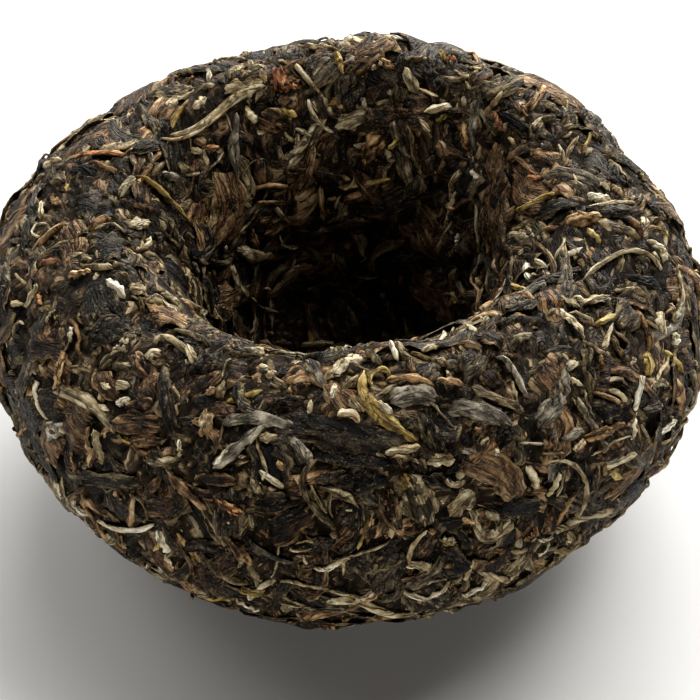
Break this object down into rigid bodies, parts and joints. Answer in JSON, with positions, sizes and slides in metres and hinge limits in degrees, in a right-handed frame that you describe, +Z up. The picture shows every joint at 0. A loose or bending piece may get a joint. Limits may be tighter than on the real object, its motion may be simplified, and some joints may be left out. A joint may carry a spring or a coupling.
{
  "type": "pu-erh tuocha",
  "caption": "Nest-shaped cake of compressed dark tea leaves, resting on its dome with the deep hollow facing up.",
  "frame": {"origin": "middle of the small flat spot on the dome, on which the cake rests", "axes": "+Z up through the open hollow; -Y towards the pictured front, +X to its right"},
  "size_m": [0.0859, 0.0813, 0.0468],
  "materials": {
    "dark_leaf": "satin, wrinkled",
    "brown_leaf": "matt",
    "bud": "downy, matt",
    "stem": "satin"
  },
  "bodies": {
    "root": {"tuocha": "dark_leaf"}
  },
  "joints": []
}
